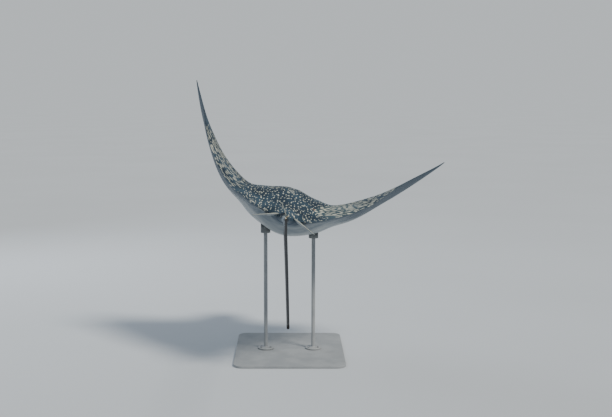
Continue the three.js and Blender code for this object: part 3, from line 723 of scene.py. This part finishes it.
# Spots: cream, one to a cell of an uneven lattice, turned and stretched at random.
def spots(place, per_metre, reach, spread, seed, pattern, longest=1, lie=0, lean=0, solid=False):
    """Coverage by spots from 0 to 1, with each point's distance from its spot's middle, the
    spot's size and its chance. Reach is a spot's radius and spread its change from spot to
    spot, both in shares of the cell; longest is how much longer than wide one may be, lie the
    way it points, and lean, 0 to 1, how freely it turns from that. They shrink and vanish
    where pattern falls to 0. In a solid lattice, all are round."""
    shifted = place.vector('ADD', (seed, seed * .7, 0))
    cell = place.node('ShaderNodeTexVoronoi',
                      {'voronoi_dimensions': '3D' if solid else '2D', 'feature': 'F1'},
                      {'Vector': shifted, 'Scale': per_metre,
                       'Randomness': .62 if solid else .82}, output=1)
    offset = shifted.vector('SUBTRACT', *cell.beside('Position'))
    chance, longer, larger = cell.node('ShaderNodeSeparateColor', {}, {0: cell}).beside(0, 1, 2)
    if solid:
        distance = offset.vector('LENGTH', (0, 0, 0), 1) * per_metre
    else:
        dx, dy = (part * per_metre for part in offset.parts())
        turn = (chance - .5) * (math.pi * lean) + lie
        cosine, sine = turn.maths('COSINE'), turn.maths('SINE')
        long = (dx * cosine + dy * sine) / (1 + longer * (longest - 1))
        wide = (dy * cosine - dx * sine) * (1 + longer * (longest - 1) * .25)
        distance = (long * long + wide * wide).maths('SQRT')
    size = reach + spread * (larger - .5) - (1 - pattern) * (reach + spread)
    return (size - distance).eased(-.06, .06), distance, size, chance


def some_hollow(found, share, rare, depth):
    """The same spots, the few whose chance is above rare with a dark middle."""
    cover, distance, size, chance = found
    hollow = (size * share - distance).eased(-.05, .05) * chance.eased(rare, rare + .02)
    return cover * (1 - hollow * depth)


# They fade towards the wing tips, and stop on the tail. On the head they are round.
wobble = flat.noise(30, 2, .5, output=1).vector('SUBTRACT', (.5, .5, .5))
loose = flat.vector('ADD', wobble.vector('MULTIPLY', (.010, .012, 0)))
bent = form.vector('ADD', wobble.vector('MULTIPLY', (.006, .006, .006)))
pattern = py.eased(.70, .61) * py.eased(-.22, -.10) * span.eased(.70, .52)
on_head = py.eased(.60, .68) * py.eased(.86, .76)
# On the right wing a patch of painted sunlight, with paler and bolder spots, opens outwards from
# a point beside the trunk.
SUNLIT_FIELD_Y, SUNLIT_FIELD_FLARE = .148, .62
sunlit_field = (px - (py - SUNLIT_FIELD_Y).maths('ABSOLUTE') * SUNLIT_FIELD_FLARE).eased(.108, .138)
bold_and_sunlit = sunlit_field * span.eased(.46, .26)
outer = span.eased(.17, .32).maths('MAXIMUM', sunlit_field)
# Rings round a dot, few and wide, that clear the small spots under them.
_, apart, size, chance = spots(
    loose.vector('MULTIPLY', (1, .66, 1)), 30, .36, .08, 5.3,
    pattern * py.eased(.46, .30) * span.eased(.22, .14), longest=1.2, lie=math.pi / 2, lean=1)
chosen = chance.eased(.84, .86)
ring = (.040 - (apart - size * .70).maths('ABSOLUTE')).eased(-.03, .03)
ring = ring.maths('MAXIMUM', (.085 - apart).eased(-.04, .04)) * chosen
cleared = (size * .98 - apart).eased(-.03, .03) * chosen
small = some_hollow(spots(
    loose.vector('MULTIPLY', (1, .58, 1)), 60, .165, .11, 0, pattern * outer.eased(.85, .25),
    longest=1.8, lie=math.pi / 2, lean=.80), .45, .74, .9)
small = (small * (1 - cleared)).maths('MAXIMUM', ring)
large = some_hollow(spots(
    loose.vector('MULTIPLY', (.74, 1, 1)), 43, .20 + span.eased(.28, .46) * .06 + bold_and_sunlit * .03,
    .14, 3.7, pattern * outer.eased(.15, .75), longest=2.2, lean=.40), .42, .82, .85)
on_crown = some_hollow(spots(bent, 37, .27, .16, 1.9, on_head, solid=True), .50, .62, .9)
spotted = small.maths('MAXIMUM', large).maths('MAXIMUM', on_crown)
cream = paint(srgb(196, 198, 182), srgb(222, 221, 204), broad.eased(.4, .6))
cream = paint(cream, srgb(160, 168, 158), fine.eased(.50, .70) * .5)
# Painted sunlight: in the patch the cream of the spots and the slate between them are paler.
cream = paint(cream, srgb(240, 238, 216), bold_and_sunlit * .7)
slate = paint(slate, srgb(84, 104, 108), bold_and_sunlit * .45)
upper = paint(slate, cream, spotted * .94)
# A small healed nick lies at the sunlit patch's point.
NICK_X, NICK_Y = .128, .150
from_nick = (px - NICK_X) * (px - NICK_X) + (py - NICK_Y) * (py - NICK_Y) * .4
nick = (from_nick.maths('SQRT') + (fine - .5) * .006).eased(.0075, .0045)
upper = paint(upper, srgb(128, 84, 58), nick * .8)
upper = paint(upper, cream, hem * .85)

# The two meet in an uneven line at the edge of the wings and along the head.
seam = (back + (medium - .5) * .010 + .001).eased(-.0035, .0035)
colour = paint(belly_white, upper, seam)
whip_paint = paint(srgb(14, 16, 20), srgb(30, 29, 29), medium.eased(.4, .7))
flecks = (flat.noise(60, 2, .5) * fine).eased(.32, .42)
whip_paint = paint(whip_paint, srgb(96, 90, 80), flecks * .45)
colour = paint(colour, whip_paint, py.eased(-.13, -.26))
# A pale painted highlight runs along the left of the tail's root.
tail_highlight = px.eased(-.0015, -.0075) * (medium * .6 + fine * .3).eased(.36, .50)
tail_highlight = tail_highlight * py.eased(-.11, -.17) * py.eased(-.80, -.40)
colour = paint(colour, srgb(172, 186, 196), tail_highlight * .75)
# Painted shade darkens the spiracles, the mouth, the nostrils and the vent.
colour = paint(colour, srgb(24, 22, 24), pit * .93)

# Lines too fine for the shell's mesh: the gill slits and the line between the lips.
fx, fy = (part / DISC_WIDTH for part in form.parts())
fx = fx.maths('ABSOLUTE')
below = back.eased(-.001, -.006)
slits = None
for gill_x, gill_y, half in GILLS:
    aside = fx - gill_x
    slit = ((fy - slit_level(gill_y, aside) + .0012).maths('ABSOLUTE').eased(.0015, .0004)
            * aside.maths('ABSOLUTE').eased(half, half * .75))
    slits = slits.maths('MAXIMUM', slit) if slits else slit
bow = ((fx / MOUTH_HALF).maths('MINIMUM', 1) * (math.pi / 2)).maths('COSINE') * MOUTH_BOW
lips = (fy - MOUTH_Y - bow).maths('ABSOLUTE').eased(.0020, .0006) * fx.eased(.0350, .0325)
slits, lips = slits * below, lips * below
# Round the mouth the skin is bare and a little pink, with many fine sense pores.
BLUSH_Y = .487
about_mouth = (fx * fx + (fy - BLUSH_Y) * (fy - BLUSH_Y) * 2.2).maths('SQRT')
blush = about_mouth.eased(.062, .022) * below
colour = paint(colour, srgb(186, 158, 152), blush * (medium * .5 + .25))
pores = spots(bent, 120, .11, .08, 7.7, fy.eased(.36, .44) * fx.eased(.085, .060),
              solid=True)[0] * below
colour = paint(colour, srgb(96, 92, 96), pores * .7)
colour = paint(colour, srgb(70, 58, 62), slits * .85)
colour = paint(colour, srgb(26, 22, 24), lips * .92)
colour = paint(colour, srgb(26, 34, 42), lid.eased(1.9, 1.05) * .75)

# Relief: fine grain, soft creases, and the rays of cartilage that show in the wings.
rays = ((py - FAN_CENTRE * DISC_WIDTH).maths('ARCTAN2', span) * 150 + medium * 1.2).maths('SINE')
rays = rays * span.eased(.16, .32) * (1 - back.maths('ABSOLUTE').eased(.25, .0) * .4)
folds = (lid * 26).maths('SINE') * lid.eased(2.1, 1.25) * lid.eased(1.02, 1.12)
height = (flat.noise(420, 3, .6) * .25 + flat.noise(90, 4, .6) * .55 + rays * .10
          + folds * .30 + spotted * .06 - slits * 1.2 - lips * .8 - pores * .5)
complete(start, Base_Color=colour, Roughness=.46 + medium * .14 + fine * .06 - pit * .15,
         Normal=height.bump(.35, .0012), Coat_Weight=.04, Coat_Roughness=.25,
         Specular_IOR_Level=.25)

skin_piece = finished(hide, 'hide', skin_paint)
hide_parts('snout', 'head', 'trunk', 'pectoral_fin_left', 'pectoral_fin_right',
            'pelvic_fin_left', 'pelvic_fin_right', 'dorsal_fin', 'tail_base', 'tail_mid',
            'tail_rear', 'tail_tip')

# ---------------------------------------------------------------------------------------
# Eyes.
# Glass taxidermy eyes, one on each side of the head: a dark ball with a brown iris and a
# wide pupil behind a clear bulging front. Each is set into the skin before the lids close on it.
# ---------------------------------------------------------------------------------------
glass, start = new_finish('glass eye')
gaze, bearing, aloft = (start.attribute(name) for name in ('gaze', 'bearing', 'aloft'))
spokes = start.node('ShaderNodeCombineXYZ', {}, {0: bearing * 7, 1: gaze * 2.2})
fibres, mottle = spokes.noise(4, 4, .7), spokes.noise(1.3, 2, .5)
iris = paint(srgb(52, 38, 24), srgb(138, 106, 58), (fibres + mottle * .4).eased(.48, .92))
iris = paint(iris, srgb(20, 15, 11), gaze.eased(.43, .58))
# The pupil is wide, with a small scalloped flap that hangs over its top in bright light.
awning = (aloft + (bearing * 15).maths('SINE') * .016).eased(.165, .195)
pupil = (gaze + (fibres - .5) * .012).eased(.350, .325) * (1 - awning)
ball_colour = paint(iris, srgb(2, 2, 3), pupil)
ball_colour = paint(ball_colour, srgb(30, 27, 26), gaze.eased(.60, .72))
complete(start, Base_Color=ball_colour, Roughness=.10, Coat_Weight=1, Coat_Roughness=.02,
         Specular_IOR_Level=0.0)

EYE_BULGE = .045               # of the clear front, beyond the ball
SIDES = ((-1, 'left'), (1, 'right'))
for side, name in SIDES:
    flip = np.array([side, 1, 1])
    axis, fore, up = frame_of(EYE_AXIS * flip)
    globe = bmesh.new()
    bmesh.ops.create_uvsphere(globe, u_segments=48, v_segments=32, radius=1)
    layers = [globe.verts.layers.float.new(mark) for mark in ('gaze', 'bearing', 'aloft')]
    for vert in globe.verts:
        look = np.array(vert.co)
        vert[layers[0]] = math.acos(max(-1, min(1, look[2]))) / (math.pi / 2)
        vert[layers[1]] = abs(math.atan2(look[1], look[0]))
        vert[layers[2]] = look[1]
        spot = (fore * look[0] + up * look[1] + axis * look[2]) * EYE_RADII
        spot = spot * (1 + EYE_BULGE * max(0, look[2])**6)
        vert.co = placed(pose(EYE * flip) + spot)
    globe.normal_update()
    bmesh.ops.recalc_face_normals(globe, faces=globe.faces)
    eye = finished(globe, f'glass_eye_{name}', glass)
    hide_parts(f'eye_{name}')

# ---------------------------------------------------------------------------------------
# Stinging spines.
# Two flat daggers of hard dentine that lie back over the tail behind the dorsal fin. They
# are ivory-coloured, grooved along the top, and toothed along both edges towards the root.
# ---------------------------------------------------------------------------------------
dentine, start = new_finish('dentine')
grain = start.attribute('grain', 1)
streaks = grain.vector('MULTIPLY', (1, .06, 1)).noise(900, 4, .6)
worn = grain.noise(160, 3, .6)
_, from_root = grain.parts()
bone = paint(srgb(232, 224, 198), srgb(196, 176, 134), streaks.eased(.40, .66))
bone = paint(bone, srgb(112, 96, 74), worn.eased(.58, .76) * .6)
bone = paint(bone, srgb(78, 68, 60), from_root.eased(.030, .0) * .8)
complete(start, Base_Color=bone, Roughness=.36 + worn * .2,
         Normal=(streaks * .7 + worn * .5).bump(.3, .0006), Coat_Weight=.15,
         Coat_Roughness=.25)

# Each with its root, its length, how far it is lifted from the tail and how far it turns.
SPINES = (('lower', -.100, .092, 2.5, -1.5), ('upper', -.092, .070, 9, 3))
SPINE_HALF_WIDTH, SPINE_HALF_DEPTH, SPINE_ROUND = .0042, .0020, 16
BARB_PITCH, BARB_HEIGHT = .0042, .20
for name, root, length, lifted, turned in SPINES:
    start_at = pose(np.array([0, root, .7 * tail_half_height(root)]) * DISC_WIDTH)
    slope = math.radians(lifted - float(tail_drop(root)))
    turn = math.radians(turned + float(tail_swing(root)))
    reach = length * DISC_WIDTH
    run = np.linspace(0, reach, round(reach / BARB_PITCH) * 4 + 1)[:, None]
    taper = np.minimum(.12 + .88 * (1 - (run / reach)**2.2), (reach - run) / .004 + .05)
    barb = BARB_HEIGHT * (1 - (run / BARB_PITCH) % 1) * smoothstep(run, .03, .045)
    theta = np.linspace(0, 2 * math.pi, SPINE_ROUND + 1)[None]
    groove = 1 - .35 * hump(np.sin(theta), 0, .25) * (np.cos(theta) > 0)
    w = SPINE_HALF_WIDTH * taper * (1 + barb * np.abs(np.sin(theta))**6) * np.sin(theta)
    d = SPINE_HALF_DEPTH * taper * np.cos(theta) * groove
    points = start_at + np.stack([math.sin(turn) * run + w, -run + 0 * w,
                                  math.sin(slope) * run + d], -1)
    dagger = bmesh.new()
    grain_layer = dagger.verts.layers.float_vector.new('grain')
    for vert, i, j in rolled(dagger, placed(points)):
        vert[grain_layer] = (float(w[i, j]), float(run[i, 0]), float(d[i, j]))
    bmesh.ops.remove_doubles(dagger, verts=dagger.verts, dist=1e-6)
    bmesh.ops.holes_fill(dagger, edges=[e for e in dagger.edges if e.is_boundary], sides=40)
    bmesh.ops.recalc_face_normals(dagger, faces=dagger.faces)
    piece = finished(dagger, f'spine_{name}', dentine)
    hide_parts(f'tail_spine_{name}')

# ---------------------------------------------------------------------------------------
# Stand plate.
# A heavy steel plate, cut with rounded corners, its edges broken, and powder-coated in a
# fine-textured pale grey. The whole model's weight rests on it.
# ---------------------------------------------------------------------------------------
coated, start = new_finish('powder-coated steel')
where = start.on_object()
pebble, cloud, rub = where.noise(1300, 2, .5), where.noise(9, 4, .6), where.noise(60, 4, .65)
coat = paint(srgb(150, 154, 157), srgb(164, 167, 169), cloud.eased(.35, .65))
coat = paint(coat, srgb(134, 137, 139), rub.eased(.62, .78) * .3)
complete(start, Base_Color=coat, Roughness=.52 + cloud * .10 + rub * .06,
         Normal=pebble.bump(.25, .0004), Metallic=.0, Specular_IOR_Level=.5)

PLATE = Vector((.520, .620, .012))
CORNER_RADIUS, BROKEN_EDGE = .045, .0020
plate = bmesh.new()
bmesh.ops.create_cube(plate, size=1)
bmesh.ops.scale(plate, vec=PLATE, verts=plate.verts)
bmesh.ops.translate(plate, vec=(0, 0, PLATE.z / 2), verts=plate.verts)
uprights = [e for e in plate.edges if abs(e.verts[0].co.z - e.verts[1].co.z) > .001]
bmesh.ops.bevel(plate, geom=uprights, offset=CORNER_RADIUS, offset_type='OFFSET', segments=16,
                profile=.5, affect='EDGES', material=-1)
rims = [e for e in plate.edges if abs(e.verts[0].co.z - e.verts[1].co.z) < 1e-6
        and e.calc_face_angle(0) > 1]
bmesh.ops.bevel(plate, geom=rims, offset=BROKEN_EDGE, offset_type='OFFSET', segments=4,
                profile=.5, affect='EDGES', material=-1)
bmesh.ops.recalc_face_normals(plate, faces=plate.faces)
plate_piece = finished(plate, 'stand_plate', coated, smooth=False)
for polygon in plate_piece.data.polygons:
    polygon.use_smooth = abs(polygon.normal.z) < .999
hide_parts('stand_base')

# ---------------------------------------------------------------------------------------
# Stand rods.
# Each is a steel bar with a round foot welded on. The weld is dressed to a fillet, the top is
# chamfered, and the foot is screwed down to the plate from above with three cap screws.
# ---------------------------------------------------------------------------------------
GAP = .0003                    # between the plate and the feet that stand on it
ROD_X, ROD_RADIUS = .115, .009
FOOT_RADIUS, FOOT_HEIGHT = .038, .008
for side, name in SIDES:
    x0, bottom = side * ROD_X, PLATE.z + GAP
    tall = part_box(f'stand_rod_{name}')[1][2] - bottom
    # Out and up the foot, in over the weld's fillet, and up the bar to its chamfered top.
    profile = [(0, 0), (FOOT_RADIUS - .0015, 0), (FOOT_RADIUS, .0012), (FOOT_RADIUS, .0062),
               (FOOT_RADIUS - .0018, FOOT_HEIGHT), (.0150, FOOT_HEIGHT), (.0118, .0092),
               (.0100, .0118), (ROD_RADIUS, .0155), (ROD_RADIUS, tall - .001),
               (ROD_RADIUS - .0008, tall), (0, tall)]
    rod = bmesh.new()
    chain = [rod.verts.new((x0 + r, 0, bottom + h)) for r, h in profile]
    for first, second in zip(chain, chain[1:]):
        rod.edges.new((first, second))
    bmesh.ops.spin(rod, geom=rod.verts[:] + rod.edges[:], cent=(x0, 0, 0), axis=(0, 0, 1),
                   angle=2 * math.pi, steps=64, use_merge=True, use_duplicate=False)
    bmesh.ops.remove_doubles(rod, verts=rod.verts, dist=1e-6)
    bmesh.ops.recalc_face_normals(rod, faces=rod.faces)
    rod_piece = finished(rod, f'turned_rod_{name}', coated)
    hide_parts(f'stand_rod_{name}')

# ---------------------------------------------------------------------------------------
# Cap screws.
# Three zinc-plated socket cap screws hold down each rod's foot. Their heads stand on the foot,
# and the hexagon sockets take a key.
# ---------------------------------------------------------------------------------------
zinc, start = new_finish('zinc plate')
haze = start.on_object().noise(420, 3, .6)
complete(start, Base_Color=paint(srgb(176, 178, 180), srgb(140, 143, 148), haze.eased(.4, .7)),
         Metallic=1.0, Roughness=.26 + haze * .16)

SCREWS, SCREWS_OUT = 3, .0265
HEAD_RADIUS, HEAD_HEIGHT, KEY_RADIUS, KEY_DEPTH, CHAMFER = .0042, .0050, .0024, .0026, .0005


def extruded(mesh, edges, up, wide=1):
    """Draws up edges into a wall, scales its far end, and gives that end's edges."""
    grown = bmesh.ops.extrude_edge_only(mesh, edges=edges)['geom']
    verts = [v for v in grown if isinstance(v, bmesh.types.BMVert)]
    bmesh.ops.translate(mesh, vec=(0, 0, up), verts=verts)
    bmesh.ops.scale(mesh, vec=(wide, wide, 1), verts=verts)
    return [e for e in grown if isinstance(e, bmesh.types.BMEdge)]


for side, name in SIDES:
    screws = bmesh.new()
    for k in range(SCREWS):
        screw = bmesh.new()
        bmesh.ops.create_circle(screw, segments=32, radius=HEAD_RADIUS)
        wall = extruded(screw, screw.edges[:], HEAD_HEIGHT - CHAMFER)
        rim = extruded(screw, wall, CHAMFER, .90)
        bmesh.ops.create_circle(screw, segments=6, radius=KEY_RADIUS,
                                matrix=Matrix.Translation((0, 0, HEAD_HEIGHT)))
        key = [e for e in screw.edges if not e.link_faces and e.calc_length() > .001]
        bmesh.ops.bridge_loops(screw, edges=rim + key)
        extruded(screw, key, -KEY_DEPTH)
        bmesh.ops.holes_fill(screw, edges=[e for e in screw.edges if e.is_boundary], sides=32)
        bmesh.ops.recalc_face_normals(screw, faces=screw.faces)
        at = math.radians(90 + 360 / SCREWS * k)
        bmesh.ops.translate(screw, verts=screw.verts, vec=(
            side * ROD_X + SCREWS_OUT * math.cos(at), SCREWS_OUT * math.sin(at),
            PLATE.z + GAP + FOOT_HEIGHT))
        data = bpy.data.meshes.new('screw')
        screw.to_mesh(data)
        screw.free()
        screws.from_mesh(data)
        bpy.data.meshes.remove(data)
    screw_piece = finished(screws, f'cap_screws_{name}', zinc, smooth=False)

# ---------------------------------------------------------------------------------------
# Pads.
# Grey rubber cups on the rods' tops that keep the metal off the skin. Each is moulded from
# the belly it carries, and is glued to its rod.
# ---------------------------------------------------------------------------------------
rubber, start = new_finish('grey rubber')
bloom, grit = start.on_object().noise(45, 4, .6), start.on_object().noise(700, 2, .5)
grey = paint(srgb(104, 108, 110), srgb(124, 127, 128), bloom.eased(.42, .70))
complete(start, Base_Color=grey, Roughness=.68 + bloom * .15, Normal=grit.bump(.2, .0004))

PAD_RADIUS, PAD_RINGS, RING_STEP = .023, 7, .003
PAD_BITE = .0004               # how far the cup reaches into the skin, so that no gap shows
belly_tree = BVHTree.FromObject(skin_piece, bpy.context.evaluated_depsgraph_get())
for side, name in SIDES:
    base_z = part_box(f'stand_pad_{name}')[0][2]
    pad = bmesh.new()
    bmesh.ops.create_circle(pad, cap_ends=True, segments=64, radius=PAD_RADIUS)
    bmesh.ops.translate(pad, vec=(side * ROD_X, 0, base_z), verts=pad.verts)
    base = pad.faces[:]
    grown = bmesh.ops.extrude_face_region(pad, geom=base)
    roof = [f for f in grown['geom'] if isinstance(f, bmesh.types.BMFace)]
    for _ in range(PAD_RINGS):
        bmesh.ops.inset_region(pad, faces=roof, thickness=RING_STEP, use_even_offset=True)
    upper_verts = {v for f in pad.faces for v in f.verts if f not in base}
    for vert in upper_verts - {v for f in base if f.is_valid for v in f.verts}:
        below_it = Vector((vert.co.x, vert.co.y, base_z - .05))
        hit, *_ = belly_tree.ray_cast(below_it, Vector((0, 0, 1)))
        if hit is not None:
            vert.co.z = hit.z + PAD_BITE
    bmesh.ops.recalc_face_normals(pad, faces=pad.faces)
    pad_piece = finished(pad, f'moulded_pad_{name}', rubber)
    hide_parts(f'stand_pad_{name}')

# ---------------------------------------------------------------------------------------
# Studio.
# A plain pale floor under an even, soft sky of the same tone, with a broad key light high on
# the right behind the tail, and a faint cool light on the far left.
# ---------------------------------------------------------------------------------------
KEY_FROM, KEY_AIM, KEY_POWER = Vector((2.0, -1.9, 4.2)), Vector((0, 0, .7)), 2.6
KEY_TINT, KEY_SPREAD = srgb(255, 250, 240), math.radians(14)
COOL_FROM, COOL_AIM, COOL_POWER = Vector((-2.6, 2.6, 2.6)), Vector((0, 0, .8)), 45
COOL_TINT, COOL_WIDTH = srgb(236, 244, 255), 2.0
AIR_TINT, AIR_POWER = srgb(214, 226, 238), .42
FLOOR_TINT, FLOOR_REACH = srgb(210, 215, 220), 150
FLOOR_SHADE = .96              # its darker patches
floor = bmesh.new()
bmesh.ops.create_grid(floor, x_segments=1, y_segments=1, size=FLOOR_REACH)
ground = bpy.data.meshes.new('floor')
floor.to_mesh(ground)
floor.free()
floor_piece = added('floor', ground)
floor_paint, start = new_finish('pale floor')
uneven = start.on_object().noise(.6, 3, .5).eased(.2, .8)
patches = tuple(c * FLOOR_SHADE for c in FLOOR_TINT)
complete(start, Base_Color=paint(FLOOR_TINT, patches, uneven), Roughness=1.0,
         Specular_IOR_Level=0.0)
ground.materials.append(floor_paint)

# Behind the floor's far edge, the eye sees the tone that the lit floor has there.
key_line = KEY_FROM - KEY_AIM
key_share = KEY_POWER * key_line.z / key_line.length / math.pi
FAR_TONE = tuple((1 + FLOOR_SHADE) / 2 * f * (k * key_share + a * AIR_POWER)
                 for f, k, a in zip(FLOOR_TINT, KEY_TINT, AIR_TINT))
world = bpy.data.worlds.new('studio')
bpy.context.scene.world = world
world.use_nodes = True
world.node_tree.nodes.clear()
start = Wire(world.node_tree)
seen = start.node('ShaderNodeLightPath')
air = start.node('ShaderNodeBackground', {}, {'Color': (*AIR_TINT, 1), 'Strength': AIR_POWER})
far = start.node('ShaderNodeBackground', {}, {'Color': (*FAR_TONE, 1), 'Strength': 1.0})
both = start.node('ShaderNodeMixShader', {}, {0: seen, 1: air, 2: far})
end = world.node_tree.nodes.new('ShaderNodeOutputWorld')
world.node_tree.links.new(both.socket, end.inputs['Surface'])


def light(name, kind, place, aim, power, tint, spread):
    lamp = bpy.data.lights.new(name, kind)
    lamp.energy, lamp.color = power, tint
    if kind == 'SUN':
        lamp.angle = spread
    else:
        lamp.shape, lamp.size = 'DISK', spread
    holder = added(name, lamp)
    holder.location = place
    holder.rotation_mode = 'QUATERNION'
    holder.rotation_quaternion = (aim - place).to_track_quat('-Z', 'Y')


light('key', 'SUN', KEY_FROM, KEY_AIM, KEY_POWER, KEY_TINT, KEY_SPREAD)
light('rim', 'AREA', COOL_FROM, COOL_AIM, COOL_POWER, COOL_TINT, COOL_WIDTH)

# ---------------------------------------------------------------------------------------
# Camera.
# It stands behind the tail and a little above it, as a swimmer who follows the animal would,
# and looks forward over the back.
# ---------------------------------------------------------------------------------------
CAMERA_BACK, CAMERA_UP = 4.6, math.radians(7)
CAMERA_LENS, CAMERA_SHIFT = 57.5, (.031, .0028)
camera = added('camera', bpy.data.cameras.new('camera'))
bpy.context.scene.camera = camera
aim = Vector((0, math.cos(CAMERA_UP), -math.sin(CAMERA_UP)))
camera.location = PIVOT - aim * CAMERA_BACK
camera.rotation_mode = 'QUATERNION'
camera.rotation_quaternion = aim.to_track_quat('-Z', 'Y')
camera.data.lens = CAMERA_LENS
camera.data.shift_x, camera.data.shift_y = CAMERA_SHIFT
